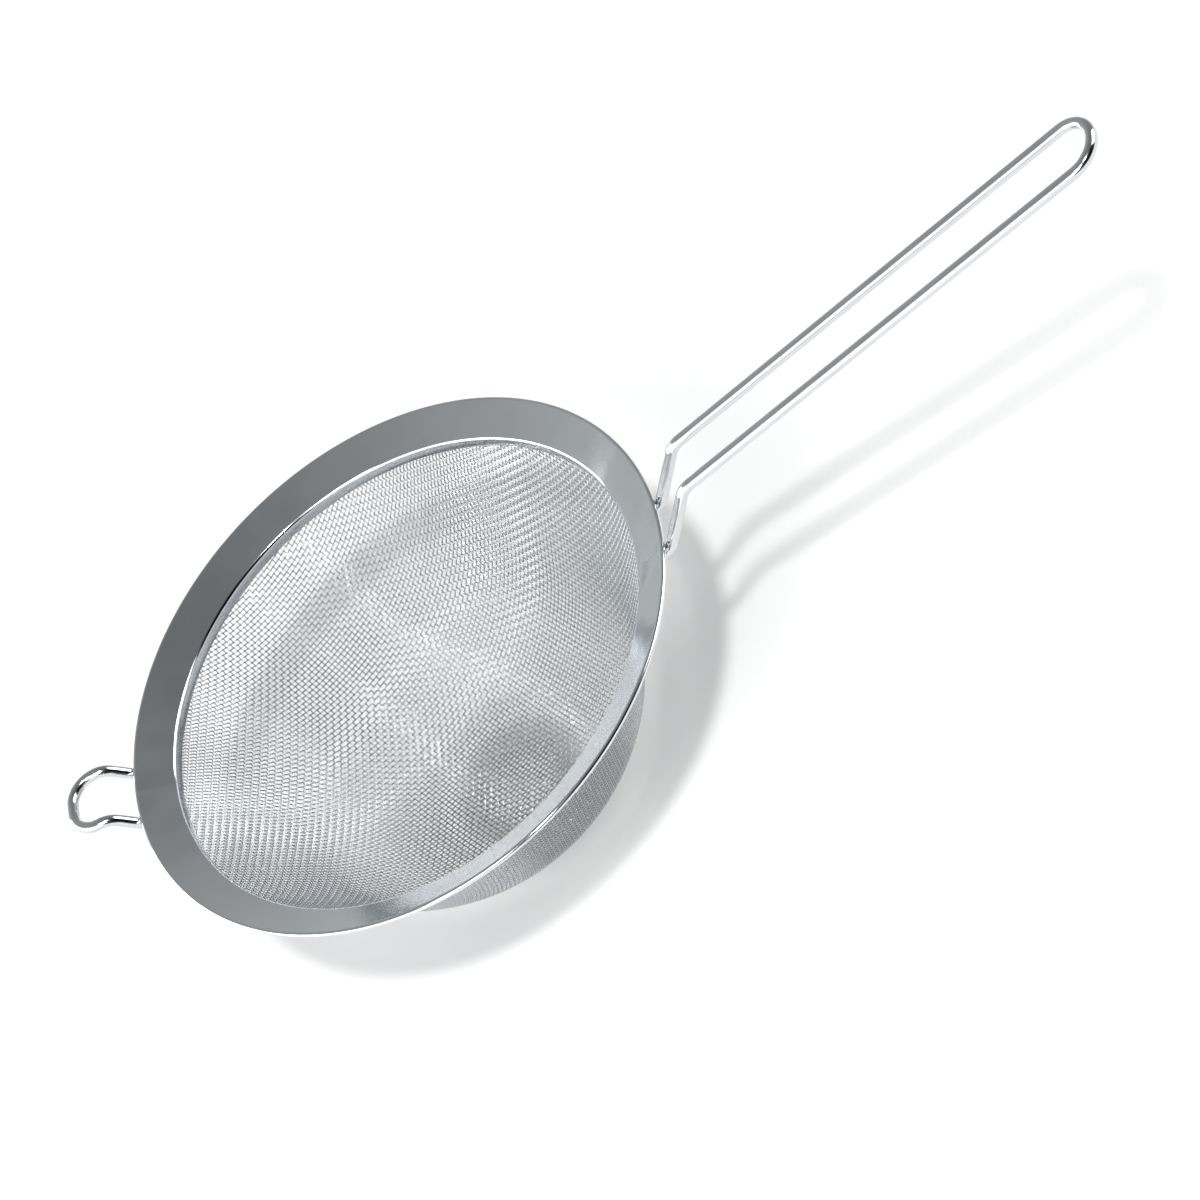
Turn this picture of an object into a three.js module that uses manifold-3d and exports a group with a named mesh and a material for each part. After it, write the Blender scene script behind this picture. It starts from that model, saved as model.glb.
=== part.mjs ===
// A round kitchen strainer: a woven mesh bowl clamped in a flanged rim, a long looped wire handle
// on one side and a short wire rest on the other.
// Millimetres, +Z up, +X towards the handle, origin in the middle of the bowl's flat underside.
import * as THREE from "three";
import { mergeVertices } from "three/addons/utils/BufferGeometryUtils.js";
import Module from "manifold-3d";

// Driving dimensions. Angles are in degrees, measured from the horizontal.
const RIM_DIAMETER = 200; // over the rolled edge
const RIM_HEIGHT = 82.9; // top of the rolled edge over the bowl's underside
const RIM_SHEET = 0.6; // sheet thickness of rim and hoop
const HEM_RADIUS = 0.9; // the rolled edge
const FLANGE_SLOPE = 27; // the flange falls towards the bowl
const FLANGE_WIDTH = 13; // level width from the rolled edge to the inside of the neck
const NECK_HEIGHT = 3; // straight part of the neck
const NECK_BEND = 1.4; // bend between neck and flange, on the seen side
const MESH_THICKNESS = 0.8; // two wires of the cloth, one over the other
const MESH_OPENINGS = 10; // across the bowl, a coarse grid that stands for the cloth's fine one
const MESH_OPEN_SHARE = 0.72; // width of an opening as a share of the grid, as in the cloth
const MESH_TURN = 45; // angle of the grid to the handle, the same seen from both sides
const MESH_BAND = 1.2; // plain edge left inside the neck
const BASE_RADIUS = 7; // flat middle of the bowl
const BOWL_RADIUS = 67; // round part of the bowl, at mid-thickness
const WIRE_DIAMETER = 4; // handle and rest
const LEG_ANGLE = 52; // how steeply the wires leave the rim
const HANDLE_SPACING = 18.9; // between the handle's two wires, centre to centre
const HANDLE_BEND_HEIGHT = 16.7; // corner of leg and grip over the rim
const HANDLE_BEND = 9; // bend radius at that corner
const HANDLE_ANGLE = 14.9; // how steeply the grip rises
const HANDLE_LENGTH = 172.6; // from that corner to the middle of the end loop
const REST_SPACING = 21.1; // between the rest's two legs, centre to centre
const REST_LEG = 7; // straight leg outside the rim
const REST_BEND = 7; // bend radius from leg to level
const REST_REACH = 9.3; // level part, from the bend to the middle of its end
const REST_CORNER = 8.7; // corner radius at its end
const WELD_SHARE = 0.65; // how much of a foot its weld runs along
const GAP = 0.3; // clearance between pieces that are pressed or welded together

// How finely round shapes are cut up.
const RING_STEPS = 64;
const WIRE_STEPS = 6;

// Sizes that follow.
const WIRE_RADIUS = WIRE_DIAMETER / 2;
const NECK_RADIUS = RIM_DIAMETER / 2 - FLANGE_WIDTH;
const SLOPE = THREE.MathUtils.degToRad(FLANGE_SLOPE);
const LEG = THREE.MathUtils.degToRad(LEG_ANGLE);
const GRIP = THREE.MathUtils.degToRad(HANDLE_ANGLE);
const UP_SLOPE = new THREE.Vector2(Math.cos(SLOPE), Math.sin(SLOPE));
const OFF_SLOPE = new THREE.Vector2(-Math.sin(SLOPE), Math.cos(SLOPE));
const HEM = new THREE.Vector2(RIM_DIAMETER / 2 - HEM_RADIUS, RIM_HEIGHT - HEM_RADIUS);
const FLANGE_TOP = HEM.clone().addScaledVector(OFF_SLOPE, HEM_RADIUS);
const FLANGE_UNDER = FLANGE_TOP.clone().addScaledVector(OFF_SLOPE, -RIM_SHEET);
const BEND_X = NECK_RADIUS + NECK_BEND;
const BEND_Z = flangeHeight(FLANGE_TOP.clone().addScaledVector(OFF_SLOPE, -NECK_BEND), BEND_X);
const NECK_FOOT = BEND_Z - NECK_HEIGHT;
const NECK_OUTSIDE = NECK_RADIUS + RIM_SHEET;
const COLLAR_INSIDE = NECK_OUTSIDE + GAP;
const COLLAR_OUTSIDE = COLLAR_INSIDE + MESH_THICKNESS;
const COLLAR_TOP = BEND_Z - GAP;
const MOUTH_HEIGHT = NECK_FOOT - GAP;
const HOOP_INSIDE = COLLAR_OUTSIDE + GAP;
const HOOP_OUTSIDE = HOOP_INSIDE + RIM_SHEET;
const WRAP_RADIUS = HEM_RADIUS + GAP + WIRE_RADIUS; // wire centre round the rolled edge

const STEEL = new THREE.MeshStandardMaterial({ color: 0xb9bbbc, roughness: 0.16, metalness: 1 });
const CLOTH = new THREE.MeshStandardMaterial({ color: 0xc6c7c6, roughness: 0.32, metalness: 1 });
const BRIGHT = new THREE.MeshStandardMaterial({ color: 0xcfd0d0, roughness: 0.12, metalness: 1 });
const WELD = new THREE.MeshStandardMaterial({ color: 0x9b9a97, roughness: 0.5, metalness: 1 });

// Height over the base of a line along the flange's slope through the given point, at a radius.
function flangeHeight(through, radius) {
  return through.y + (radius - through.x) * Math.tan(SLOPE);
}

// Points on an arc in the profile plane, both ends included.
function arc(centre, radius, from, to, steps) {
  const points = [];
  for (let i = 0; i <= steps; i++) {
    const angle = from + ((to - from) * i) / steps;
    const x = centre.x + radius * Math.cos(angle);
    const y = centre.y + radius * Math.sin(angle);
    points.push(new THREE.Vector2(x, y));
  }
  return points;
}

// A body of revolution about Z from a profile of (radius, height) points.
function turned(profile) {
  return new THREE.LatheGeometry(profile, RING_STEPS).rotateX(Math.PI / 2);
}

// The rim: neck, bend, sloping flange and rolled edge, all of one sheet.
function rimGeometry() {
  const bend = new THREE.Vector2(BEND_X, BEND_Z);
  const off = Math.PI / 2 + SLOPE;
  const hidden = Math.acos((HEM_RADIUS - RIM_SHEET) / HEM_RADIUS);
  const profile = [
    new THREE.Vector2(NECK_RADIUS, NECK_FOOT),
    ...arc(bend, NECK_BEND, Math.PI, off, 4),
    ...arc(HEM, HEM_RADIUS, off, off + hidden - 2 * Math.PI, 12),
    ...arc(bend, NECK_BEND - RIM_SHEET, off, Math.PI, 3),
    new THREE.Vector2(NECK_OUTSIDE, NECK_FOOT),
    new THREE.Vector2(NECK_RADIUS, NECK_FOOT),
  ];
  return turned(profile.reverse());
}

// The bowl: flat base, round part, straight wall tangent to it, and the collar held in the rim.
function bowlGeometry() {
  const centre = new THREE.Vector2(BASE_RADIUS, MESH_THICKNESS / 2 + BOWL_RADIUS);
  const mouth = new THREE.Vector2((COLLAR_INSIDE + COLLAR_OUTSIDE) / 2, MOUTH_HEIGHT);
  const toMouth = mouth.sub(centre);
  const wall = Math.atan2(toMouth.y, toMouth.x) + Math.asin(BOWL_RADIUS / toMouth.length());
  const side = (radius, collar) => {
    const round = arc(centre, radius, -Math.PI / 2, wall - Math.PI / 2, 9);
    const last = round[round.length - 1];
    const height = last.y + (collar - last.x) * Math.tan(wall);
    return [...round, new THREE.Vector2(collar, height), new THREE.Vector2(collar, COLLAR_TOP)];
  };
  const half = MESH_THICKNESS / 2;
  const outside = side(BOWL_RADIUS + half, COLLAR_OUTSIDE);
  const inside = side(BOWL_RADIUS - half, COLLAR_INSIDE);
  const underside = new THREE.Vector2(0, 0);
  const floor = new THREE.Vector2(0, MESH_THICKNESS);
  return turned([underside, ...outside, ...inside.reverse(), floor]);
}

// The hoop that presses the cloth's collar against the neck.
function hoopGeometry() {
  const profile = [
    new THREE.Vector2(HOOP_INSIDE, NECK_FOOT),
    new THREE.Vector2(HOOP_OUTSIDE, NECK_FOOT),
    new THREE.Vector2(HOOP_OUTSIDE, COLLAR_TOP),
    new THREE.Vector2(HOOP_INSIDE, COLLAR_TOP),
    new THREE.Vector2(HOOP_INSIDE, NECK_FOOT),
  ];
  return turned(profile);
}

// A wire's centreline, laid down run by run and bend by bend.
class WirePath extends THREE.Curve {
  constructor(start, heading) {
    super();
    this.points = [start.clone()];
    this.headings = [heading.clone()];
  }

  add(point, heading) {
    this.points.push(point);
    this.headings.push(heading);
    return this;
  }

  run(length) {
    const heading = this.headings.at(-1).clone();
    return this.add(this.points.at(-1).clone().addScaledVector(heading, length), heading);
  }

  bend(axis, radius, angle, steps) {
    const start = this.points.at(-1);
    const heading = this.headings.at(-1);
    const centre = axis.clone().cross(heading).multiplyScalar(radius).add(start);
    for (let i = 1; i <= steps; i++) {
      const turn = (angle * i) / steps;
      const point = start.clone().sub(centre).applyAxisAngle(axis, turn).add(centre);
      this.add(point, heading.clone().applyAxisAngle(axis, turn));
    }
    return this;
  }

  getPointAt(share) {
    return this.points[Math.round(share * (this.points.length - 1))].clone();
  }

  getTangentAt(share) {
    return this.headings[Math.round(share * (this.headings.length - 1))].clone();
  }

  // The round wire itself.
  geometry() {
    const section = new THREE.Shape().absarc(0, 0, WIRE_RADIUS, 0, 2 * Math.PI);
    const steps = this.points.length - 1;
    return new THREE.ExtrudeGeometry(section, { steps, extrudePath: this, curveSegments: WIRE_STEPS });
  }
}

const LEVEL_LEFT = new THREE.Vector3(0, 1, 0);
const LEVEL_RIGHT = new THREE.Vector3(0, -1, 0);

// Where a foot lies under the flange at a distance to the side: from the hoop out to the rolled edge.
function foot(side) {
  const hemX = Math.sqrt(HEM.x ** 2 - side ** 2);
  const outer = new THREE.Vector3(hemX, side, HEM.y);
  outer.x -= OFF_SLOPE.x * WRAP_RADIUS;
  outer.z -= OFF_SLOPE.y * WRAP_RADIUS;
  const clearX = Math.sqrt((HOOP_OUTSIDE + GAP) ** 2 - (side - WIRE_RADIUS) ** 2);
  const length = (outer.x - clearX - WIRE_RADIUS * UP_SLOPE.y) / UP_SLOPE.x;
  const heading = new THREE.Vector3(UP_SLOPE.x, 0, UP_SLOPE.y);
  const inner = outer.clone().addScaledVector(heading, -length);
  return { inner, heading, length };
}

// Straight leg left outside the rolled edge when its bend to the grip starts.
function handleLeg() {
  const wrapEnd = HEM.y - WRAP_RADIUS * Math.cos(LEG);
  const corner = RIM_HEIGHT + HANDLE_BEND_HEIGHT - wrapEnd;
  return corner / Math.sin(LEG) - HANDLE_BEND * Math.tan((LEG - GRIP) / 2);
}

// The handle: one wire from a foot under the flange, up and out, round the end loop and back.
function handleGeometry() {
  const side = HANDLE_SPACING / 2;
  const { inner, heading, length } = foot(side);
  const leg = handleLeg();
  const grip = HANDLE_LENGTH - HANDLE_BEND * Math.tan((LEG - GRIP) / 2) - side;
  const downGrip = new THREE.Vector3(Math.sin(GRIP), 0, -Math.cos(GRIP));
  const path = new WirePath(inner, heading)
    .run(length)
    .bend(LEVEL_RIGHT, WRAP_RADIUS, LEG - SLOPE, 3)
    .run(leg)
    .bend(LEVEL_LEFT, HANDLE_BEND, LEG - GRIP, 6)
    .run(grip)
    .bend(downGrip, side, Math.PI, 16)
    .run(grip)
    .bend(LEVEL_RIGHT, HANDLE_BEND, LEG - GRIP, 6)
    .run(leg)
    .bend(LEVEL_LEFT, WRAP_RADIUS, LEG - SLOPE, 3)
    .run(length);
  return path.geometry();
}

// The rest: the same feet and legs, then level round a short end. Made towards +X, then turned round.
function restGeometry() {
  const side = REST_SPACING / 2;
  const { inner, heading, length } = foot(side);
  const down = new THREE.Vector3(0, 0, -1);
  const path = new WirePath(inner, heading)
    .run(length)
    .bend(LEVEL_RIGHT, WRAP_RADIUS, LEG - SLOPE, 3)
    .run(REST_LEG)
    .bend(LEVEL_LEFT, REST_BEND, LEG, 6)
    .run(REST_REACH - REST_CORNER)
    .bend(down, REST_CORNER, Math.PI / 2, 7)
    .run(REST_SPACING - 2 * REST_CORNER)
    .bend(down, REST_CORNER, Math.PI / 2, 7)
    .run(REST_REACH - REST_CORNER)
    .bend(LEVEL_RIGHT, REST_BEND, LEG, 6)
    .run(REST_LEG)
    .bend(LEVEL_LEFT, WRAP_RADIUS, LEG - SLOPE, 3)
    .run(length);
  return path.geometry().rotateZ(Math.PI);
}

const wasm = await Module();
wasm.setup();

// A closed geometry as a solid that can be cut, and back again.
function toSolid(geometry) {
  const bare = geometry.clone();
  bare.deleteAttribute("normal");
  bare.deleteAttribute("uv");
  const merged = mergeVertices(bare, 1e-4);
  const vertProperties = merged.attributes.position.array;
  const triVerts = new Uint32Array(merged.index.array);
  return new wasm.Manifold(new wasm.Mesh({ numProp: 3, vertProperties, triVerts }));
}

function toGeometry(solid) {
  const { vertProperties, triVerts } = solid.getMesh();
  const geometry = new THREE.BufferGeometry();
  geometry.setAttribute("position", new THREE.BufferAttribute(vertProperties, 3));
  geometry.setIndex(new THREE.BufferAttribute(triVerts, 1));
  geometry.computeVertexNormals();
  return geometry;
}

// Square openings straight down through the bowl, up to a plain band below the collar.
function meshOpenings() {
  const reach = NECK_RADIUS - MESH_BAND;
  const pitch = (2 * reach) / MESH_OPENINGS;
  const size = MESH_OPEN_SHARE * pitch;
  const depth = 2 * RIM_HEIGHT;
  const round = new THREE.CylinderGeometry(reach, reach, depth, RING_STEPS).rotateX(Math.PI / 2);
  const inside = toSolid(round);
  const last = reach - pitch / 2;
  const openings = [];
  for (let x = -last; x < reach; x += pitch) {
    for (let y = -last; y < reach; y += pitch) {
      if (Math.hypot(x, y) > reach) continue;
      const opening = toSolid(new THREE.BoxGeometry(size, size, depth).translate(x, y, 0));
      openings.push(opening.intersect(inside));
    }
  }
  return wasm.Manifold.union(openings).rotate([0, 0, MESH_TURN]);
}

// The bowl with its grid of openings.
function meshGeometry() {
  return toGeometry(toSolid(bowlGeometry()).subtract(meshOpenings()));
}

// What the flange's underside keeps clear, for shaping the welds.
const flangeRoom = (() => {
  const low = FLANGE_UNDER.clone().addScaledVector(OFF_SLOPE, -GAP);
  const inside = NECK_RADIUS - WIRE_DIAMETER;
  const outside = RIM_DIAMETER / 2 + WIRE_DIAMETER;
  const top = RIM_HEIGHT + WIRE_DIAMETER;
  const profile = [
    new THREE.Vector2(inside, flangeHeight(low, inside)),
    new THREE.Vector2(outside, flangeHeight(low, outside)),
    new THREE.Vector2(outside, top),
    new THREE.Vector2(inside, top),
    new THREE.Vector2(inside, flangeHeight(low, inside)),
  ];
  return toSolid(turned(profile));
})();

// A weld: a rounded pad that fills the space between a foot and the flange and laps the wire's sides.
function weldGeometry(side) {
  const { inner, heading, length } = foot(Math.abs(side));
  const middle = inner.setY(side).addScaledVector(heading, length / 2);
  const wire = new THREE.CylinderGeometry(WIRE_RADIUS + GAP, WIRE_RADIUS + GAP, 2 * length, 24);
  wire.rotateZ(Math.PI / 2).rotateY(-SLOPE).translate(middle.x, middle.y, middle.z);
  const space = WRAP_RADIUS + HEM_RADIUS - RIM_SHEET - WIRE_RADIUS;
  const lift = WIRE_RADIUS + space / 2;
  const along = (WELD_SHARE * length) / 2;
  const pad = new THREE.SphereGeometry(1, 16, 10).scale(along, 1.6 * WIRE_RADIUS, WIRE_RADIUS);
  pad.rotateY(-SLOPE);
  pad.translate(middle.x + lift * OFF_SLOPE.x, middle.y, middle.z + lift * OFF_SLOPE.y);
  return toGeometry(toSolid(pad).subtract(toSolid(wire)).subtract(flangeRoom));
}

const strainer = new THREE.Group();
strainer.name = "strainer";

function place(name, geometry, material) {
  const mesh = new THREE.Mesh(geometry, material);
  mesh.name = name;
  strainer.add(mesh);
}

place("rim", rimGeometry(), STEEL);
place("mesh_bowl", meshGeometry(), CLOTH);
place("clamping_hoop", hoopGeometry(), STEEL);
place("handle", handleGeometry(), BRIGHT);
place("rest", restGeometry(), BRIGHT);
place("handle_weld_left", weldGeometry(HANDLE_SPACING / 2), WELD);
place("handle_weld_right", weldGeometry(-HANDLE_SPACING / 2), WELD);
place("rest_weld_left", weldGeometry(REST_SPACING / 2).rotateZ(Math.PI), WELD);
place("rest_weld_right", weldGeometry(-REST_SPACING / 2).rotateZ(Math.PI), WELD);

export default strainer;
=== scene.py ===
"""Looks of a round mesh strainer, laid over its solid frame.

The rim is spun from its section, the bowl is woven wire by wire, and the handle and the rest are bent
from round wire. All sizes are in metres, with +Z up and +X towards the handle.
"""

import math

import bmesh
import bpy
import numpy as np
from bpy.props import FloatProperty, FloatVectorProperty, IntProperty, PointerProperty
from bpy.types import Operator, Panel, PropertyGroup
from mathutils import Euler, Matrix, Vector


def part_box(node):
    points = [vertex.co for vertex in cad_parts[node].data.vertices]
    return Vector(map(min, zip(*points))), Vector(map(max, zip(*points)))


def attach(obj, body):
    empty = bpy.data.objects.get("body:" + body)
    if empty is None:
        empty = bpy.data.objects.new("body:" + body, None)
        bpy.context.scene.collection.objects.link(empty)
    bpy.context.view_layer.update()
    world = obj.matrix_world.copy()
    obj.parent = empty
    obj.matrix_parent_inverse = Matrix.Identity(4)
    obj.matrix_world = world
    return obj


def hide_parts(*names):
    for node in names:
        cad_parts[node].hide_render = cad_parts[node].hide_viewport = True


bl_info = {
    "name": "Mesh Strainer",
    "version": (1, 0, 0),
    "blender": (4, 5, 0),
    "location": "View3D > Sidebar > Strainer",
    "description": "Builds the looks of a round mesh strainer on its solid frame",
    "category": "Add Mesh",
}

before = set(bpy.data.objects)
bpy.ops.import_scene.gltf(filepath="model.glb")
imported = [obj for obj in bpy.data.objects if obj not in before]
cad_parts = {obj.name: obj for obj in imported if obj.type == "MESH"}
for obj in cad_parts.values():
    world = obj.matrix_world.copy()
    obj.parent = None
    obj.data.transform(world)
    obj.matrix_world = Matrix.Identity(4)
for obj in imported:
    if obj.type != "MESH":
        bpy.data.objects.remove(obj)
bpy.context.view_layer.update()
RIM_LOW, RIM_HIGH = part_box("rim")
BOWL_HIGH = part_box("mesh_bowl")[1]
HOOP_LOW, HOOP_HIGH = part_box("clamping_hoop")
WELD_LOW, WELD_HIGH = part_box("rest_weld_left")
MM = 0.001
BODY = "root"
LEFT = Vector((0, 1, 0))
RIGHT = Vector((0, -1, 0))
UP = Vector((0, 0, 1))
DOWN = Vector((0, 0, -1))

# Facets round each ring, and steps round each bend.
RIM_FACETS = 288
HOOP_FACETS = 192
WELD_FACETS = (24, 14)
NECK_STEPS = 6
BEND_STEPS = 10
UNDER_BEND_STEPS = 6
HEM_STEPS = 26
WRAP_STEPS = 8
CORNER_STEPS = 14
LOOP_STEPS = 40
REST_BEND_STEPS = 16
REST_CORNER_STEPS = 20

# Cuts across the flange, close together near its bends so that it shades flat in between.
FLANGE_CUTS = (0.02, 0.06, 0.2, 0.4, 0.6, 0.8, 0.94, 0.98, 1.0)

# Vertices nearer than this are joined, faces that meet at more than SHARP are shaded apart,
# and edges that turn by more than CREASE are rounded.
JOIN = 1e-7
SHARP = math.radians(50)
CREASE = 1.0
HOOP_ROUND = 0.15 * MM
WIRE_END_ROUND = 0.35 * MM

# The weave: rounds of fitting for each crossing, the shortest end past a wire's last crossing as
# a share of the pitch, and the number of pieces that the wires of each way are shared out to.
FIT_ROUNDS = 8
SHORTEST_END = 0.02
BUNDLES = 3

# Half a weld's length and width, as shares of the wire's foot and of its diameter, and half its height.
WELD_LENGTH = 0.33
WELD_WIDTH = 0.78
WELD_HEIGHT = 1.1 * MM

# Most of a noise lies between these two values.
NOISE_LOW = 0.3
NOISE_HIGH = 0.7

# How far from a weld the sheet is drawn out of true, how close its waves are, and how high.
PULL_REACH = 28 * MM
PULL_SCALE = 75.0
PULL_HEIGHT = 1.2 * MM

# The floor's half width, its roughness, where the dark side begins and is full, and the camera's film
# width in millimetres and farthest sight.
FLOOR_REACH = 6
FLOOR_ROUGHNESS = 0.9
DARK_START = 0.2
DARK_FULL = 0.9
SENSOR_WIDTH = 36
FAR_SIGHT = 20


class StrainerRim(PropertyGroup):
    """Sizes of the rim's sheet."""

    outer_radius: FloatProperty(
        name="Outer radius",
        description="Over the rolled edge",
        default=RIM_HIGH.x,
        unit="LENGTH",
    )
    top: FloatProperty(
        name="Top",
        description="Height of the rolled edge over the bowl's underside",
        default=RIM_HIGH.z,
        unit="LENGTH",
    )
    foot: FloatProperty(
        name="Foot",
        description="Height of the neck's lower edge",
        default=RIM_LOW.z,
        unit="LENGTH",
    )
    sheet: FloatProperty(
        name="Sheet",
        description="Thickness of the sheet",
        default=0.6 * MM,
        unit="LENGTH",
    )
    hem_radius: FloatProperty(
        name="Rolled edge",
        description="Radius of the rolled edge",
        default=0.9 * MM,
        unit="LENGTH",
    )
    slope: FloatProperty(
        name="Slope",
        description="How the flange falls towards the bowl",
        default=math.radians(27),
        subtype="ANGLE",
    )
    flange_width: FloatProperty(
        name="Flange width",
        description="Level width from the rolled edge to the inside of the neck",
        default=13 * MM,
        unit="LENGTH",
    )
    neck_bend: FloatProperty(
        name="Neck bend",
        description="Bend between neck and flange, on the seen side",
        default=1.4 * MM,
        unit="LENGTH",
    )
    neck_barrel: FloatProperty(
        name="Neck barrel",
        description="How far the neck bulges towards the bowl's axis",
        default=0.12 * MM,
        unit="LENGTH",
    )


class StrainerCloth(PropertyGroup):
    """Sizes of the woven bowl."""

    pitch: FloatProperty(
        name="Pitch",
        description="From wire to wire",
        default=25.4 / 16 * MM,
        unit="LENGTH",
    )
    gauge: FloatProperty(
        name="Gauge",
        description="Diameter of the woven wire",
        default=0.44 * MM,
        unit="LENGTH",
    )
    turn: FloatProperty(
        name="Turn",
        description="Angle of the warp to the handle at the bowl's middle",
        default=math.radians(34),
        subtype="ANGLE",
    )
    thickness: FloatProperty(
        name="Thickness",
        description="Of the cloth, where wires cross",
        default=0.8 * MM,
        unit="LENGTH",
    )
    base_radius: FloatProperty(
        name="Base radius",
        description="Flat middle of the bowl",
        default=7 * MM,
        unit="LENGTH",
    )
    round_radius: FloatProperty(
        name="Round radius",
        description="Between base and wall, at mid-thickness",
        default=67 * MM,
        unit="LENGTH",
    )
    flat_share: FloatProperty(
        name="Flat share",
        description="Share of the pitch that a wire lies level on each side of a crossing",
        default=0.22,
    )


class StrainerWire(PropertyGroup):
    """Sizes of the handle, the rest and their welds."""

    diameter: FloatProperty(
        name="Diameter",
        description="Of the wire of handle and rest",
        default=3.92 * MM,
        unit="LENGTH",
    )
    gap: FloatProperty(
        name="Gap",
        description="Clearance between pieces that are pressed or welded together",
        default=0.3 * MM,
        unit="LENGTH",
    )
    leg_angle: FloatProperty(
        name="Leg angle",
        description="How steeply the wires leave the rim",
        default=math.radians(52),
        subtype="ANGLE",
    )
    handle_spacing: FloatProperty(
        name="Handle spacing",
        description="Between the handle's two wires, centre to centre",
        default=18.9 * MM,
        unit="LENGTH",
    )
    handle_bend_height: FloatProperty(
        name="Handle corner height",
        description="Corner of leg and grip over the rim",
        default=16.66 * MM,
        unit="LENGTH",
    )
    handle_bend: FloatProperty(
        name="Handle bend",
        description="Bend radius at that corner",
        default=9 * MM,
        unit="LENGTH",
    )
    handle_angle: FloatProperty(
        name="Handle angle",
        description="How steeply the grip rises",
        default=math.radians(14.9),
        subtype="ANGLE",
    )
    handle_length: FloatProperty(
        name="Handle length",
        description="From that corner to the middle of the end loop",
        default=172.55 * MM,
        unit="LENGTH",
    )
    rest_spacing: FloatProperty(
        name="Rest spacing",
        description="Between the rest's two legs, centre to centre",
        default=21.1 * MM,
        unit="LENGTH",
    )
    rest_leg: FloatProperty(
        name="Rest leg",
        description="Straight leg outside the rim",
        default=7 * MM,
        unit="LENGTH",
    )
    rest_bend: FloatProperty(
        name="Rest bend",
        description="Bend radius from leg to level",
        default=7 * MM,
        unit="LENGTH",
    )
    rest_reach: FloatProperty(
        name="Rest reach",
        description="Level part, from the bend to the middle of its end",
        default=9.3 * MM,
        unit="LENGTH",
    )
    rest_corner: FloatProperty(
        name="Rest corner",
        description="Corner radius at its end",
        default=8.7 * MM,
        unit="LENGTH",
    )
    sides: IntProperty(
        name="Sides",
        description="Faces round the wire",
        default=28,
        min=8,
    )


class StrainerFinish(PropertyGroup):
    """Colours of the steel."""

    sheet: FloatVectorProperty(
        name="Sheet",
        description="Polished sheet of the rim",
        default=(0.73, 0.757, 0.783),
        subtype="COLOR",
        min=0,
        max=1,
    )
    wire: FloatVectorProperty(
        name="Wire",
        description="Polished wire of handle and rest",
        default=(0.66, 0.672, 0.688),
        subtype="COLOR",
        min=0,
        max=1,
    )
    cloth: FloatVectorProperty(
        name="Cloth",
        description="Drawn wire of the cloth",
        default=(0.45, 0.468, 0.483),
        subtype="COLOR",
        min=0,
        max=1,
    )
    weld: FloatVectorProperty(
        name="Weld",
        description="Cleaned weld metal",
        default=(0.55, 0.54, 0.53),
        subtype="COLOR",
        min=0,
        max=1,
    )


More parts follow.
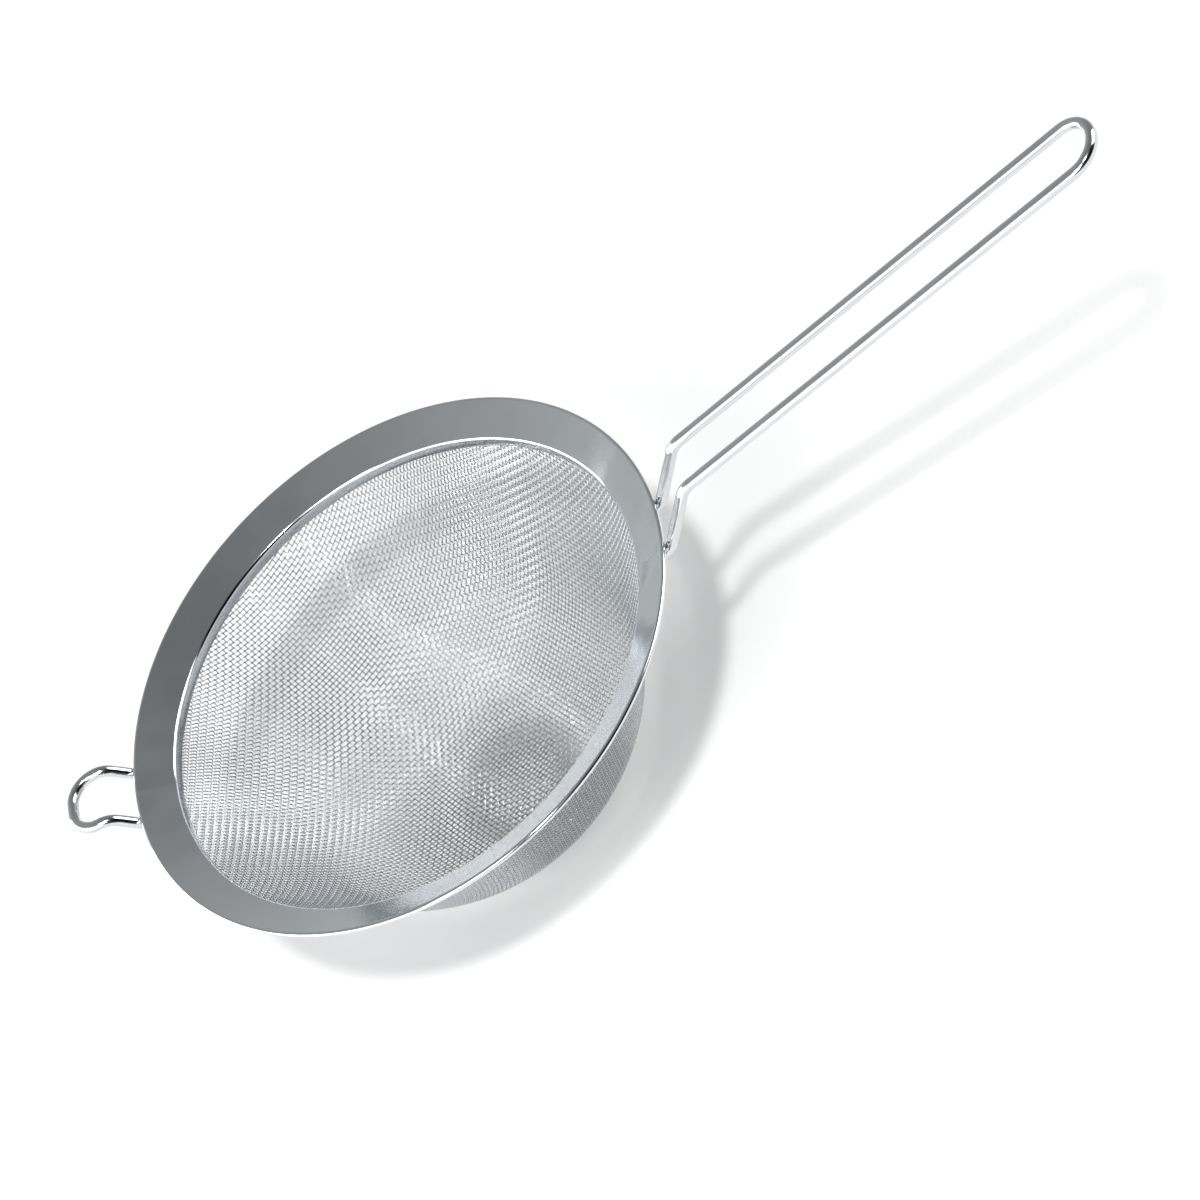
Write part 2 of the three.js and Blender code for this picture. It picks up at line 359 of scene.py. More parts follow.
class StrainerStage(PropertyGroup):
    """Floor, light and camera."""

    camera_place: FloatVectorProperty(
        name="Camera place",
        description="Where the camera stands",
        default=(0.493162, -0.999192, 1.124506),
        subtype="TRANSLATION",
    )
    camera_turn: FloatVectorProperty(
        name="Camera turn",
        description="How the camera is turned",
        default=(math.radians(36.3493), math.radians(29.7839), math.radians(-10.8845)),
        subtype="EULER",
    )
    lens: FloatProperty(
        name="Lens",
        description="Focal length in millimetres on a 36 mm sensor",
        default=142.86,
    )
    floor_colour: FloatVectorProperty(
        name="Floor",
        description="Pale floor",
        default=(0.735, 0.735, 0.735),
        subtype="COLOR",
        min=0,
        max=1,
    )
    dome_colour: FloatVectorProperty(
        name="Dome colour",
        description="Of the soft light all round",
        default=(0.97, 0.995, 1.0),
        subtype="COLOR",
        min=0,
        max=1,
    )
    dome_level: FloatProperty(
        name="Dome level",
        description="Strength of the soft light at the horizon",
        default=0.46,
    )
    dome_fall: FloatVectorProperty(
        name="Dome fall",
        description="How the soft light changes per unit of direction",
        default=(-0.158, 0, -0.237),
        subtype="XYZ",
    )
    dark_side: FloatVectorProperty(
        name="Dark side",
        description="Way to the darker side of the room, behind the camera",
        default=(0.5, -0.85, 0.15),
        subtype="DIRECTION",
    )
    dark_depth: FloatProperty(
        name="Dark depth",
        description="How much weaker the soft light is in the middle of the dark side",
        default=0.3,
    )
    key_aim: FloatVectorProperty(
        name="Key aim",
        description="Way the key light shines",
        default=(-0.18, 0.48, -1),
        subtype="DIRECTION",
    )
    key_power: FloatProperty(
        name="Key power",
        description="Strength of the key light in watts per square metre",
        default=1.8,
    )
    key_angle: FloatProperty(
        name="Key softness",
        description="How wide the key light looks from the object",
        default=math.radians(4.5),
        subtype="ANGLE",
    )
    fill_place: FloatVectorProperty(
        name="Fill place",
        description="Where the wide fill light stands",
        default=(-2.0, -2.1, 1.1),
        subtype="TRANSLATION",
    )
    fill_size: FloatVectorProperty(
        name="Fill size",
        description="Width and height of the fill light",
        default=(3.6, 2.4),
        size=2,
        unit="LENGTH",
    )
    fill_power: FloatProperty(
        name="Fill power",
        description="Power of the fill light in watts",
        default=36,
    )
    right_place: FloatVectorProperty(
        name="Right place",
        description="Where the wide light on the right stands",
        default=(2.6, 0.9, 1.5),
        subtype="TRANSLATION",
    )
    right_size: FloatVectorProperty(
        name="Right size",
        description="Width and height of the light on the right",
        default=(2.0, 2.0),
        size=2,
        unit="LENGTH",
    )
    right_power: FloatProperty(
        name="Right power",
        description="Power of the light on the right in watts",
        default=64,
    )
    left_place: FloatVectorProperty(
        name="Left place",
        description="Where the low light on the left stands",
        default=(-3.0, -0.2, 0.8),
        subtype="TRANSLATION",
    )
    left_size: FloatVectorProperty(
        name="Left size",
        description="Width and height of the low light on the left",
        default=(4.0, 1.6),
        size=2,
        unit="LENGTH",
    )
    left_power: FloatProperty(
        name="Left power",
        description="Power of the low light on the left in watts",
        default=86,
    )
    front_place: FloatVectorProperty(
        name="Front place",
        description="Where the wide front light stands",
        default=(-0.6, -2.6, 2.6),
        subtype="TRANSLATION",
    )
    front_size: FloatVectorProperty(
        name="Front size",
        description="Width and height of the front light",
        default=(1.6, 1.6),
        size=2,
        unit="LENGTH",
    )
    front_power: FloatProperty(
        name="Front power",
        description="Power of the front light in watts",
        default=60,
    )


def spin(bm, geom, centre, axis, angle, steps, closed=False):
    """Carry part of a mesh round an axis and fill in behind it; returns what is at the end."""
    made = bmesh.ops.spin(
        bm,
        geom=geom,
        cent=centre,
        axis=axis,
        dvec=(0, 0, 0),
        angle=angle,
        steps=steps,
        use_merge=closed,
        use_duplicate=False,
    )
    return made["geom_last"]


def sweep(bm, tip, centre, angle, steps):
    """Carry a section's last vertex round a centre, from the top outwards; returns the new last one."""
    made = spin(bm, [tip], centre, LEFT, angle, steps)
    return next(g for g in made if isinstance(g, bmesh.types.BMVert))


def draw(bm, tip, target, shares=(1.0,)):
    """Draw a section's last vertex straight to a point, with a vertex at each share of the way."""
    start = tip.co.copy()
    for share in shares:
        tip = bmesh.ops.extrude_vert_indiv(bm, verts=[tip])["verts"][0]
        tip.co = start.lerp(target, share)
    return tip


def revolve(bm, steps):
    """Spin a closed section round the bowl's axis into a closed ring."""
    spin(bm, bm.verts[:] + bm.edges[:], (0, 0, 0), UP, math.tau, steps, closed=True)
    bmesh.ops.remove_doubles(bm, verts=bm.verts, dist=JOIN)
    bmesh.ops.recalc_face_normals(bm, faces=bm.faces)


def round_edges(bm, offset, segments):
    """Round every hard edge of a piece."""
    bmesh.ops.bevel(
        bm,
        geom=[e for e in bm.edges if e.calc_face_angle(0) > CREASE],
        offset=offset,
        affect="EDGES",
        segments=segments,
        profile=0.5,
        material=-1,
    )


def place_piece(obj, material, nodes):
    """Give a finished object its material and its place in the frame, and hide the solids it stands
    for.
    """
    obj.data.materials.append(material)
    bpy.context.scene.collection.objects.link(obj)
    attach(obj, BODY)
    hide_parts(*nodes)


def finish_piece(bm, name, material, nodes):
    """Turn a bmesh into a smooth piece of the object."""
    mesh = bpy.data.meshes.new(name)
    for face in bm.faces:
        face.smooth = True
    bm.to_mesh(mesh)
    bm.free()
    mesh.set_sharp_from_angle(angle=SHARP)
    place_piece(bpy.data.objects.new(name, mesh), material, nodes)


def steel(name, colour, rough, rough_spread, shade_spread, scale, bump_scale=0, bump_height=0):
    """Steel whose shade and gloss drift over the surface, with a slightly uneven face if asked for."""
    material = bpy.data.materials.new(name)
    material.use_nodes = True
    nodes, links = material.node_tree.nodes, material.node_tree.links
    shader = nodes["Principled BSDF"]
    shader.inputs["Metallic"].default_value = 1.0
    place = nodes.new("ShaderNodeTexCoord")
    drift = nodes.new("ShaderNodeTexNoise")
    drift.inputs["Scale"].default_value = scale
    drift.inputs["Detail"].default_value = 4.0
    links.new(place.outputs["Object"], drift.inputs["Vector"])
    shade = nodes.new("ShaderNodeValToRGB")
    low, high = shade.color_ramp.elements
    low.position = NOISE_LOW
    high.position = NOISE_HIGH
    low.color = (*[c * (1 - shade_spread) for c in colour], 1)
    high.color = (*[min(1, c * (1 + shade_spread)) for c in colour], 1)
    links.new(drift.outputs["Fac"], shade.inputs["Fac"])
    links.new(shade.outputs["Color"], shader.inputs["Base Color"])
    gloss = nodes.new("ShaderNodeMapRange")
    gloss.inputs["From Min"].default_value = NOISE_LOW
    gloss.inputs["From Max"].default_value = NOISE_HIGH
    gloss.inputs["To Min"].default_value = rough - rough_spread
    gloss.inputs["To Max"].default_value = rough + rough_spread
    links.new(drift.outputs["Fac"], gloss.inputs["Value"])
    links.new(gloss.outputs["Result"], shader.inputs["Roughness"])
    if bump_height:
        waves = nodes.new("ShaderNodeTexNoise")
        waves.inputs["Scale"].default_value = bump_scale
        waves.inputs["Detail"].default_value = 1.0
        links.new(place.outputs["Object"], waves.inputs["Vector"])
        bump = nodes.new("ShaderNodeBump")
        bump.inputs["Distance"].default_value = bump_height
        links.new(waves.outputs["Fac"], bump.inputs["Height"])
        links.new(bump.outputs["Normal"], shader.inputs["Normal"])
    return material


def sheet_material():
    """Polished sheet, made once for rim and hoop, drawn out of true beside the welds."""
    found = bpy.data.materials.get("sheet_finish")
    if found:
        return found
    material = steel(
        "sheet_finish",
        bpy.context.scene.strainer_finish.sheet,
        rough=0.1,
        rough_spread=0.02,
        shade_spread=0.03,
        scale=60,
        bump_scale=45,
        bump_height=0.03 * MM,
    )
    nodes, links = material.node_tree.nodes, material.node_tree.links
    place = nodes["Texture Coordinate"]
    # The four welds lie nearly alike in the four quarters, so one distance serves them all.
    quarter = nodes.new("ShaderNodeVectorMath")
    quarter.operation = "ABSOLUTE"
    links.new(place.outputs["Object"], quarter.inputs[0])
    away = nodes.new("ShaderNodeVectorMath")
    away.operation = "DISTANCE"
    away.inputs[1].default_value = [abs(c) for c in (WELD_LOW + WELD_HIGH) / 2]
    links.new(quarter.outputs["Vector"], away.inputs[0])
    near = nodes.new("ShaderNodeMapRange")
    near.interpolation_type = "SMOOTHSTEP"
    near.inputs["From Max"].default_value = PULL_REACH
    near.inputs["To Min"].default_value = 1.0
    near.inputs["To Max"].default_value = 0.0
    links.new(away.outputs["Value"], near.inputs["Value"])
    pull = nodes.new("ShaderNodeTexNoise")
    pull.inputs["Scale"].default_value = PULL_SCALE
    pull.inputs["Detail"].default_value = 0.0
    links.new(place.outputs["Object"], pull.inputs["Vector"])
    dent = nodes.new("ShaderNodeMath")
    dent.operation = "MULTIPLY"
    links.new(near.outputs["Result"], dent.inputs[0])
    links.new(pull.outputs["Fac"], dent.inputs[1])
    bump = nodes.new("ShaderNodeBump")
    bump.inputs["Distance"].default_value = PULL_HEIGHT
    links.new(dent.outputs["Value"], bump.inputs["Height"])
    links.new(nodes["Bump"].outputs["Normal"], bump.inputs["Normal"])
    links.new(bump.outputs["Normal"], nodes["Principled BSDF"].inputs["Normal"])
    return material


def wire_material():
    """Polished wire, made once for handle and rest."""
    found = bpy.data.materials.get("wire_finish")
    return found or steel(
        "wire_finish",
        bpy.context.scene.strainer_finish.wire,
        rough=0.14,
        rough_spread=0.03,
        shade_spread=0.04,
        scale=90,
        bump_scale=120,
        bump_height=0.01 * MM,
    )


def hem_centre(rim):
    """Middle of the rolled edge in the section's plane."""
    return Vector((rim.outer_radius - rim.hem_radius, 0, rim.top - rim.hem_radius))


def off_flange(rim):
    """Unit vector square to the flange, on its seen side."""
    return Vector((-math.sin(rim.slope), 0, math.cos(rim.slope)))


def bend_centre(rim):
    """Middle of the bend between neck and flange in the section's plane."""
    start = hem_centre(rim) + (rim.hem_radius - rim.neck_bend) * off_flange(rim)
    x = rim.outer_radius - rim.flange_width + rim.neck_bend
    return Vector((x, 0, start.z + (x - start.x) * math.tan(rim.slope)))


class STRAINER_OT_rim(Operator):
    """Spin the rim: neck, bend, sloping flange and rolled edge, all of one sheet"""

    bl_idname = "strainer.rim"
    bl_label = "Rim"

    def execute(self, context):
        rim = context.scene.strainer_rim
        hem, bend, off = hem_centre(rim), bend_centre(rim), off_flange(rim)
        neck = rim.outer_radius - rim.flange_width
        turn = math.pi / 2 - rim.slope
        half = (bend.z - rim.foot) / 2
        barrel = (half**2 + rim.neck_barrel**2) / (2 * rim.neck_barrel)
        hidden = math.acos((rim.hem_radius - rim.sheet) / rim.hem_radius)
        bm = bmesh.new()
        first = bm.verts.new((neck, 0, rim.foot))
        middle = Vector((neck + barrel - rim.neck_barrel, 0, rim.foot + half))
        tip = sweep(bm, first, middle, 2 * math.asin(half / barrel), NECK_STEPS)
        tip = sweep(bm, tip, bend, turn, BEND_STEPS)
        tip = draw(bm, tip, hem + off * rim.hem_radius, FLANGE_CUTS)
        tip = sweep(bm, tip, hem, math.tau - hidden, HEM_STEPS)
        tip = draw(bm, tip, bend + off * (rim.neck_bend - rim.sheet), FLANGE_CUTS)
        tip = sweep(bm, tip, bend, -turn, UNDER_BEND_STEPS)
        tip = draw(bm, tip, Vector((neck + rim.sheet, 0, rim.foot)))
        bm.edges.new((tip, first))
        revolve(bm, RIM_FACETS)
        finish_piece(bm, "rim_sheet", sheet_material(), ("rim",))
        return {"FINISHED"}


class STRAINER_OT_hoop(Operator):
    """Spin the hoop that presses the cloth against the outside of the neck"""

    bl_idname = "strainer.hoop"
    bl_label = "Clamping hoop"

    def execute(self, context):
        rim = context.scene.strainer_rim
        inside, outside = HOOP_HIGH.x - rim.sheet, HOOP_HIGH.x
        bm = bmesh.new()
        first = bm.verts.new((inside, 0, HOOP_LOW.z))
        tip = draw(bm, first, Vector((inside, 0, HOOP_HIGH.z)))
        tip = draw(bm, tip, Vector((outside, 0, HOOP_HIGH.z)))
        tip = draw(bm, tip, Vector((outside, 0, HOOP_LOW.z)))
        bm.edges.new((tip, first))
        revolve(bm, HOOP_FACETS)
        round_edges(bm, HOOP_ROUND, segments=2)
        finish_piece(bm, "hoop_band", sheet_material(), ("clamping_hoop",))
        return {"FINISHED"}


class BowlShape:
    """The cloth's middle surface: flat base, round part and the straight wall tangent to it."""

    def __init__(self, cloth, mouth_radius, mouth_height):
        self.base = cloth.base_radius
        self.round = cloth.round_radius
        self.low = cloth.thickness / 2
        over = Vector((mouth_radius - self.base, mouth_height - self.low - self.round))
        self.wall = math.atan2(over.y, over.x) + math.asin(self.round / over.length)
        self.wall_radius = self.base + self.round * math.sin(self.wall)
        self.wall_height = self.low + self.round * (1 - math.cos(self.wall))

    def height(self, radius):
        """Height and steepness at a radius."""
        if radius <= self.base:
            return self.low, 0.0
        if radius <= self.wall_radius:
            across = radius - self.base
            drop = math.sqrt(self.round**2 - across**2)
            return self.low + self.round - drop, across / drop
        steep = math.tan(self.wall)
        return self.wall_height + (radius - self.wall_radius) * steep, steep

    def radius_along(self, length):
        """Radius after going a length up the bowl from its middle."""
        if length <= self.base:
            return length
        length -= self.base
        if length <= self.round * self.wall:
            return self.base + self.round * math.sin(length / self.round)
        return self.wall_radius + (length - self.round * self.wall) * math.cos(self.wall)

    def point(self, x, y):
        """Point of the cloth over a place in plan."""
        return Vector((x, y, self.height(math.hypot(x, y))[0]))

    def off(self, at):
        """Unit vector square to the cloth, into the bowl."""
        radius = math.hypot(at.x, at.y)
        steep = self.height(radius)[1]
        if not steep:
            return UP
        return Vector((-steep * at.x / radius, -steep * at.y / radius, 1)).normalized()

    def fourth(self, a, b, opposite, pitch):
        """The cloth's next crossing: a pitch from a and from b, across from the opposite one."""
        x, y = a.x + b.x - opposite.x, a.y + b.y - opposite.y
        for _ in range(FIT_ROUNDS):
            radius = math.hypot(x, y)
            z, steep = self.height(radius)
            zx, zy = steep * x / radius, steep * y / radius
            f = (x - a.x) ** 2 + (y - a.y) ** 2 + (z - a.z) ** 2 - pitch**2
            g = (x - b.x) ** 2 + (y - b.y) ** 2 + (z - b.z) ** 2 - pitch**2
            fx, fy = 2 * (x - a.x + (z - a.z) * zx), 2 * (y - a.y + (z - a.z) * zy)
            gx, gy = 2 * (x - b.x + (z - b.z) * zx), 2 * (y - b.y + (z - b.z) * zy)
            det = fx * gy - fy * gx
            x -= (f * gy - g * fy) / det
            y -= (fx * g - gx * f) / det
        return self.point(x, y)


def lay_crossings(shape, cloth, edge):
    """Where warp and weft cross when a flat square-woven cloth is pressed to the bowl: every wire
    keeps its length between crossings, and only the angle between the wires changes."""
    laid = {(0, 0): shape.point(0, 0)}
    rows = range(1, int(2 * edge / cloth.pitch))
    for quarter, (i, j) in enumerate(((1, 0), (0, 1), (-1, 0), (0, -1))):
        angle = cloth.turn + quarter * math.pi / 2
        for n in rows:
            radius = shape.radius_along(n * cloth.pitch)
            laid[i * n, j * n] = shape.point(radius * math.cos(angle), radius * math.sin(angle))
            if radius > edge:
                break
    for si, sj in ((1, 1), (1, -1), (-1, 1), (-1, -1)):
        for i in rows:
            for j in rows:
                a, b = laid.get((si * i, sj * (j - 1))), laid.get((si * (i - 1), sj * j))
                if a is None or b is None or min(a.xy.length, b.xy.length) > edge:
                    break
                opposite = laid[si * (i - 1), sj * (j - 1)]
                laid[si * i, sj * j] = shape.fourth(a, b, opposite, cloth.pitch)
    return laid


def wire_course(shape, cloth, crossings, first_over, edge):
    """A woven wire's course: level over and under its crossings, slanting between them, and cut
    where it reaches the bowl's edge."""
    course = []
    lift = (cloth.thickness - cloth.gauge) / 2 * (1 if first_over else -1)
    for n, here in enumerate(crossings):
        if here.xy.length > edge:
            lift = -lift
            continue
        rise = shape.off(here) * lift
        for step in (-1, 1):
            if not 0 <= n + step < len(crossings):
                continue
            other = crossings[n + step]
            share = cloth.flat_share
            if other.xy.length > edge:
                to_edge = (edge - here.xy.length) / (other.xy.length - here.xy.length)
                share = max(SHORTEST_END, to_edge)
            course.append(here.lerp(other, share) + rise)
        lift = -lift
    return course


def weave_piece(name, courses, cloth, material):
    """Draw a share of the wires as round bars and make them one mesh."""
    curve = bpy.data.curves.new(name, "CURVE")
    curve.dimensions = "3D"
    curve.bevel_depth = cloth.gauge / 2
    curve.bevel_resolution = 1
    curve.use_fill_caps = True
    for course in courses:
        spline = curve.splines.new("POLY")
        spline.points.add(len(course) - 1)
        spline.points.foreach_set("co", [c for at in course for c in (*at, 1.0)])
        spline.use_smooth = True
    drawn = bpy.data.objects.new(name, curve)
    mesh = bpy.data.meshes.new_from_object(drawn)
    mesh.name = name
    bpy.data.objects.remove(drawn)
    bpy.data.curves.remove(curve)
    map_from_above(mesh)
    place_piece(bpy.data.objects.new(name, mesh), material, ("mesh_bowl",))


def map_from_above(mesh):
    """Give the wires one flat map, as the bowl is seen from above, for their colours to be baked on."""
    for layer in list(mesh.uv_layers):
        mesh.uv_layers.remove(layer)
    flat = mesh.uv_layers.new(name="OFBake")
    corners = np.empty(len(mesh.loops), np.int32)
    mesh.loops.foreach_get("vertex_index", corners)
    places = np.empty(len(mesh.vertices) * 3, np.float32)
    mesh.vertices.foreach_get("co", places)
    seen = places.reshape(-1, 3)[corners, :2] / (2 * BOWL_HIGH.x) + 0.5
    flat.data.foreach_set("uv", seen.astype(np.float32).ravel())


class STRAINER_OT_cloth(Operator):
    """Weave the bowl wire by wire, as a square-woven cloth pressed into shape"""

    bl_idname = "strainer.cloth"
    bl_label = "Woven bowl"

    def execute(self, context):
        cloth = context.scene.strainer_cloth
        rim = context.scene.strainer_rim
        gap = context.scene.strainer_wire.gap
        mouth = BOWL_HIGH.x - cloth.thickness / 2
        shape = BowlShape(cloth, mouth, rim.foot - gap)
        edge = mouth + gap
        laid = lay_crossings(shape, cloth, edge)
        material = steel(
            "cloth_finish",
            context.scene.strainer_finish.cloth,
            rough=0.22,
            rough_spread=0.04,
            shade_spread=0.06,
            scale=40,
        )
        for name, along in (("warp", 0), ("weft", 1)):
            lines = {}
            for key in sorted(laid, key=lambda k: k[along]):
                lines.setdefault(key[1 - along], []).append((key[along], laid[key]))
            courses = []
            for line in sorted(lines):
                start = lines[line][0][0]
                crossings = [at for _, at in lines[line]]
                first_over = (start + line + along) % 2 == 0
                course = wire_course(shape, cloth, crossings, first_over, edge)
                if len(course) > 2:
                    courses.append(course)
            count = math.ceil(len(courses) / BUNDLES)
            for bundle in range(BUNDLES):
                share = courses[bundle * count : (bundle + 1) * count]
                weave_piece(f"{name}_wires_{bundle + 1}", share, cloth, material)
        return {"FINISHED"}


class BentWire:
    """A round wire grown from its foot: straight runs are extruded, bends are spun."""

    def __init__(self, foot, heading, radius, sides):
        self.bm = bmesh.new()
        self.place = foot.copy()
        self.heading = heading.copy()
        square = Matrix.Translation(foot) @ heading.to_track_quat("Z", "Y").to_matrix().to_4x4()
        bmesh.ops.create_circle(
            self.bm, cap_ends=True, segments=sides, radius=radius, matrix=square
        )
        self.ring = self.bm.edges[:]

    def take_ring(self, made):
        """Take the edges at the wire's new end as its open ring; returns their vertices."""
        new = {g for g in made if isinstance(g, bmesh.types.BMVert)}
        near = {e for v in new for e in v.link_edges}
        self.ring = [e for e in near if e.verts[0] in new and e.verts[1] in new]
        return list(new)

    def run(self, length):
        """Go straight on."""
        made = bmesh.ops.extrude_edge_only(self.bm, edges=self.ring)["geom"]
        moved = self.take_ring(made)
        bmesh.ops.translate(self.bm, verts=moved, vec=self.heading * length)
        self.place += self.heading * length
        return self

    def bend(self, axis, radius, angle, steps):
        """Go round a bend, turning about an axis that is square to the heading."""
        centre = self.place + radius * axis.cross(self.heading)
        corners = {v for e in self.ring for v in e.verts}
        self.take_ring(spin(self.bm, [*corners, *self.ring], centre, axis, angle, steps))
        turn = Matrix.Rotation(angle, 3, axis)
        self.place = centre + turn @ (self.place - centre)
        self.heading = turn @ self.heading
        return self

    def end(self):
        """Close the wire and round both its ends."""
        bmesh.ops.contextual_create(self.bm, geom=self.ring)
        bmesh.ops.recalc_face_normals(self.bm, faces=self.bm.faces)
        round_edges(self.bm, WIRE_END_ROUND, segments=3)
        return self.bm


def wrap_radius(rim, wire):
    """Radius of the wire's centre line where it goes round the rolled edge."""
    return rim.hem_radius + wire.gap + wire.diameter / 2


def foot_line(rim, wire, side):
    """Where a wire's foot lies under the flange: its inner end, its heading and its length."""
    hem, off = hem_centre(rim), off_flange(rim)
    outer = Vector((math.sqrt(hem.x**2 - side**2), side, hem.z)) - off * wrap_radius(rim, wire)
    radius = wire.diameter / 2
    clear = math.sqrt((HOOP_HIGH.x + wire.gap) ** 2 - (side - radius) ** 2)
    heading = Vector((math.cos(rim.slope), 0, math.sin(rim.slope)))
    length = (outer.x - clear - radius * heading.z) / heading.x
    return outer - heading * length, heading, length


class STRAINER_OT_handle(Operator):
    """Bend the handle: from a foot under the flange, up and out, round the end loop and back"""

    bl_idname = "strainer.handle"
    bl_label = "Handle"

    def execute(self, context):
        rim, wire = context.scene.strainer_rim, context.scene.strainer_wire
        side = wire.handle_spacing / 2
        leg_angle, grip_angle = wire.leg_angle, wire.handle_angle
        foot, heading, length = foot_line(rim, wire, side)
        wrap = wrap_radius(rim, wire)
        corner = wire.handle_bend * math.tan((leg_angle - grip_angle) / 2)
        rise = rim.top + wire.handle_bend_height - hem_centre(rim).z + wrap * math.cos(leg_angle)
        leg = rise / math.sin(leg_angle) - corner
        grip = wire.handle_length - corner - side
        under = Vector((math.sin(grip_angle), 0, -math.cos(grip_angle)))
        bent = BentWire(foot, heading, wire.diameter / 2, wire.sides)
        bent.run(length).bend(RIGHT, wrap, leg_angle - rim.slope, WRAP_STEPS)
        bent.run(leg).bend(LEFT, wire.handle_bend, leg_angle - grip_angle, CORNER_STEPS)
        bent.run(grip).bend(under, side, math.pi, LOOP_STEPS)
        bent.run(grip).bend(RIGHT, wire.handle_bend, leg_angle - grip_angle, CORNER_STEPS)
        bent.run(leg).bend(LEFT, wrap, leg_angle - rim.slope, WRAP_STEPS)
        bent.run(length)
        finish_piece(bent.end(), "handle_wire", wire_material(), ("handle",))
        return {"FINISHED"}


class STRAINER_OT_rest(Operator):
    """Bend the rest: the same feet and legs as the handle, then level round a short end"""

    bl_idname = "strainer.rest"
    bl_label = "Rest"

    def execute(self, context):
        rim, wire = context.scene.strainer_rim, context.scene.strainer_wire
        leg_angle = wire.leg_angle
        foot, heading, length = foot_line(rim, wire, wire.rest_spacing / 2)
        wrap = wrap_radius(rim, wire)
        level = wire.rest_reach - wire.rest_corner
        end = wire.rest_spacing - 2 * wire.rest_corner
        bent = BentWire(foot, heading, wire.diameter / 2, wire.sides)
        bent.run(length).bend(RIGHT, wrap, leg_angle - rim.slope, WRAP_STEPS)
        bent.run(wire.rest_leg).bend(LEFT, wire.rest_bend, leg_angle, REST_BEND_STEPS)
        bent.run(level).bend(DOWN, wire.rest_corner, math.pi / 2, REST_CORNER_STEPS)
        bent.run(end).bend(DOWN, wire.rest_corner, math.pi / 2, REST_CORNER_STEPS)
        bent.run(level).bend(RIGHT, wire.rest_bend, leg_angle, REST_BEND_STEPS)
        bent.run(wire.rest_leg).bend(LEFT, wrap, leg_angle - rim.slope, WRAP_STEPS)
        bent.run(length)
        bm = bent.end()
        # It is bent on the handle's side and then turned to its own.
        half_turn = Matrix.Rotation(math.pi, 3, "Z")
        bmesh.ops.rotate(bm, verts=bm.verts, cent=(0, 0, 0), matrix=half_turn)
        finish_piece(bm, "rest_wire", wire_material(), ("rest",))
        return {"FINISHED"}


class STRAINER_OT_welds(Operator):
    """Lay the welds that hold the wires' feet to the underside of the flange"""

    bl_idname = "strainer.welds"
    bl_label = "Welds"

    def execute(self, context):
        rim, wire = context.scene.strainer_rim, context.scene.strainer_wire
        material = steel(
            "weld_finish",
            context.scene.strainer_finish.weld,
            rough=0.45,
            rough_spread=0.1,
            shade_spread=0.15,
            scale=700,
            bump_scale=900,
            bump_height=0.25 * MM,
        )
        space = wrap_radius(rim, wire) + rim.hem_radius - rim.sheet - wire.diameter / 2
        lift = off_flange(rim) * (wire.diameter / 2 + space / 2)
        tilt = Matrix.Rotation(-rim.slope, 4, "Y")
        for kind, spacing, turn in (
            ("handle", wire.handle_spacing, 0.0),
            ("rest", wire.rest_spacing, math.pi),
        ):
            foot, heading, length = foot_line(rim, wire, spacing / 2)
            middle = foot + heading * length / 2 + lift
            size = Vector((WELD_LENGTH * length, WELD_WIDTH * wire.diameter, WELD_HEIGHT))
            for name, side in (("left", spacing / 2), ("right", -spacing / 2)):
                middle.y = side
                bm = bmesh.new()
                bmesh.ops.create_uvsphere(
                    bm,
                    u_segments=WELD_FACETS[0],
                    v_segments=WELD_FACETS[1],
                    radius=1,
                    matrix=Matrix.Rotation(turn, 4, "Z")
                    @ Matrix.Translation(middle)
                    @ tilt
                    @ Matrix.Diagonal((*size, 1)),
                )
                node = f"{kind}_weld_{name}"
                finish_piece(bm, f"{node}_bead", material, (node,))
        return {"FINISHED"}


def lay_floor(scene, stage):
    """Lay the pale floor that the bowl stands on."""
    bm = bmesh.new()
    bmesh.ops.create_grid(bm, x_segments=1, y_segments=1, size=FLOOR_REACH)
    mesh = bpy.data.meshes.new("floor")
    bm.to_mesh(mesh)
    bm.free()
    paint = bpy.data.materials.new("floor_paint")
    paint.use_nodes = True
    shader = paint.node_tree.nodes["Principled BSDF"]
    shader.inputs["Base Color"].default_value = (*stage.floor_colour, 1)
    shader.inputs["Roughness"].default_value = FLOOR_ROUGHNESS
    mesh.materials.append(paint)
    floor = bpy.data.objects.new("floor", mesh)
    scene.collection.objects.link(floor)


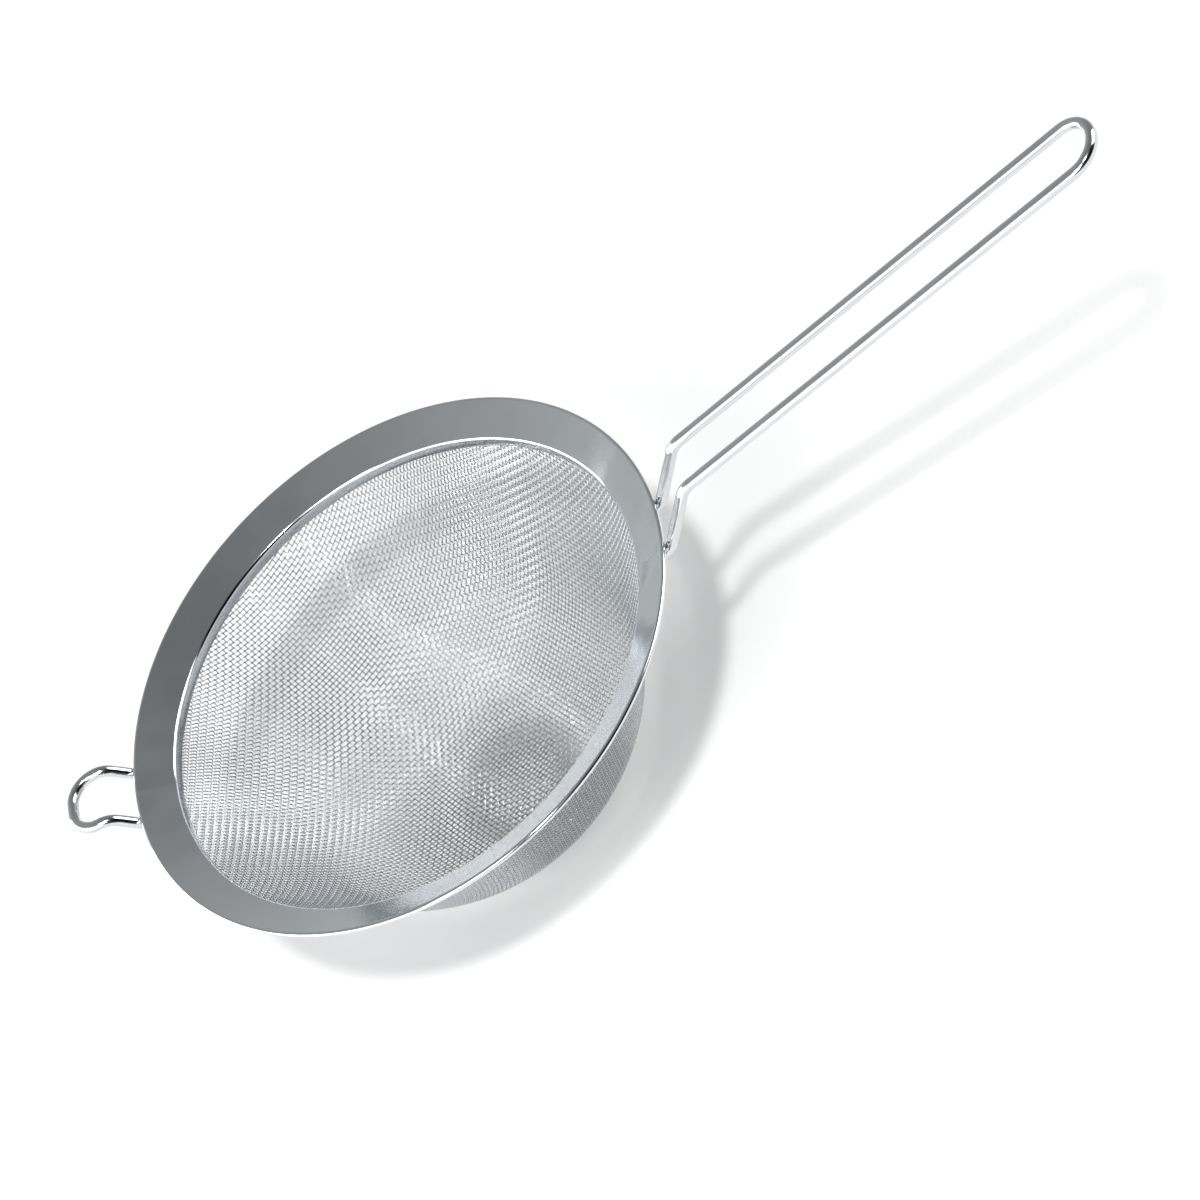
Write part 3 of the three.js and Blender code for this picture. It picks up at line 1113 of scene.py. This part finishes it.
def light_room(scene, stage):
    """Light the room softly from all round, less towards its dark side."""
    world = bpy.data.worlds.new("studio")
    world.use_nodes = True
    nodes, links = world.node_tree.nodes, world.node_tree.links
    aim = nodes.new("ShaderNodeTexCoord")
    fall = nodes.new("ShaderNodeVectorMath")
    fall.operation = "DOT_PRODUCT"
    fall.inputs[1].default_value = stage.dome_fall
    links.new(aim.outputs["Generated"], fall.inputs[0])
    level = nodes.new("ShaderNodeMath")
    level.inputs[1].default_value = stage.dome_level
    links.new(fall.outputs["Value"], level.inputs[0])
    near = nodes.new("ShaderNodeVectorMath")
    near.operation = "DOT_PRODUCT"
    near.inputs[1].default_value = stage.dark_side
    links.new(aim.outputs["Generated"], near.inputs[0])
    dark = nodes.new("ShaderNodeMapRange")
    dark.interpolation_type = "SMOOTHSTEP"
    dark.inputs["From Min"].default_value = DARK_START
    dark.inputs["From Max"].default_value = DARK_FULL
    dark.inputs["To Max"].default_value = stage.dark_depth
    links.new(near.outputs["Value"], dark.inputs["Value"])
    shaded = nodes.new("ShaderNodeMath")
    shaded.operation = "SUBTRACT"
    shaded.use_clamp = True
    links.new(level.outputs["Value"], shaded.inputs[0])
    links.new(dark.outputs["Result"], shaded.inputs[1])
    background = nodes["Background"]
    background.inputs["Color"].default_value = (*stage.dome_colour, 1)
    links.new(shaded.outputs["Value"], background.inputs["Strength"])
    scene.world = world


def key_light(scene, stage):
    """Hang the key light, which casts the shadow."""
    lamp = bpy.data.lights.new("key", "SUN")
    lamp.energy = stage.key_power
    lamp.angle = stage.key_angle
    key = bpy.data.objects.new("key", lamp)
    key.rotation_euler = Vector(stage.key_aim).to_track_quat("-Z", "Y").to_euler()
    scene.collection.objects.link(key)


def soft_light(scene, name, place, size, power):
    """Stand a soft light at a place, facing the bowl."""
    lamp = bpy.data.lights.new(name, "AREA")
    lamp.shape = "RECTANGLE"
    lamp.size, lamp.size_y = size
    lamp.energy = power
    light = bpy.data.objects.new(name, lamp)
    light.location = place
    light.rotation_euler = (-light.location).to_track_quat("-Z", "Y").to_euler()
    scene.collection.objects.link(light)


def stand_camera(scene, stage):
    """Stand the camera where the photo was taken from."""
    lens = bpy.data.cameras.new("camera")
    lens.sensor_width = SENSOR_WIDTH
    lens.lens = stage.lens
    lens.clip_end = FAR_SIGHT
    camera = bpy.data.objects.new("camera", lens)
    camera.location = stage.camera_place
    camera.rotation_euler = Euler(stage.camera_turn)
    scene.collection.objects.link(camera)
    scene.camera = camera


class STRAINER_OT_stage(Operator):
    """Set up the pale floor, the lights and the camera"""

    bl_idname = "strainer.stage"
    bl_label = "Stage"

    def execute(self, context):
        scene = context.scene
        stage = scene.strainer_stage
        lay_floor(scene, stage)
        light_room(scene, stage)
        key_light(scene, stage)
        soft_light(scene, "fill", stage.fill_place, stage.fill_size, stage.fill_power)
        soft_light(scene, "right", stage.right_place, stage.right_size, stage.right_power)
        soft_light(scene, "left", stage.left_place, stage.left_size, stage.left_power)
        soft_light(scene, "front", stage.front_place, stage.front_size, stage.front_power)
        stand_camera(scene, stage)
        scene.view_settings.view_transform = "Standard"
        return {"FINISHED"}


class STRAINER_PT_panel(Panel):
    """The strainer's pieces and sizes"""

    bl_idname = "STRAINER_PT_panel"
    bl_label = "Mesh Strainer"
    bl_space_type = "VIEW_3D"
    bl_region_type = "UI"
    bl_category = "Strainer"

    def draw(self, context):
        for operator in OPERATORS:
            self.layout.operator(operator.bl_idname)
        for name, group in GROUPS.items():
            sizes = getattr(context.scene, name)
            for size in group.__annotations__:
                self.layout.prop(sizes, size)


GROUPS = {
    "strainer_rim": StrainerRim,
    "strainer_cloth": StrainerCloth,
    "strainer_wire": StrainerWire,
    "strainer_finish": StrainerFinish,
    "strainer_stage": StrainerStage,
}
OPERATORS = (
    STRAINER_OT_rim,
    STRAINER_OT_hoop,
    STRAINER_OT_cloth,
    STRAINER_OT_handle,
    STRAINER_OT_rest,
    STRAINER_OT_welds,
    STRAINER_OT_stage,
)


def register():
    for cls in (*GROUPS.values(), *OPERATORS, STRAINER_PT_panel):
        bpy.utils.register_class(cls)
    for name, group in GROUPS.items():
        setattr(bpy.types.Scene, name, PointerProperty(type=group))


def unregister():
    for name in GROUPS:
        delattr(bpy.types.Scene, name)
    for cls in reversed((*GROUPS.values(), *OPERATORS, STRAINER_PT_panel)):
        bpy.utils.unregister_class(cls)


def main():
    register()
    bpy.ops.strainer.rim()
    bpy.ops.strainer.hoop()
    bpy.ops.strainer.cloth()
    bpy.ops.strainer.handle()
    bpy.ops.strainer.rest()
    bpy.ops.strainer.welds()
    bpy.ops.strainer.stage()


if __name__ == "__main__":
    main()
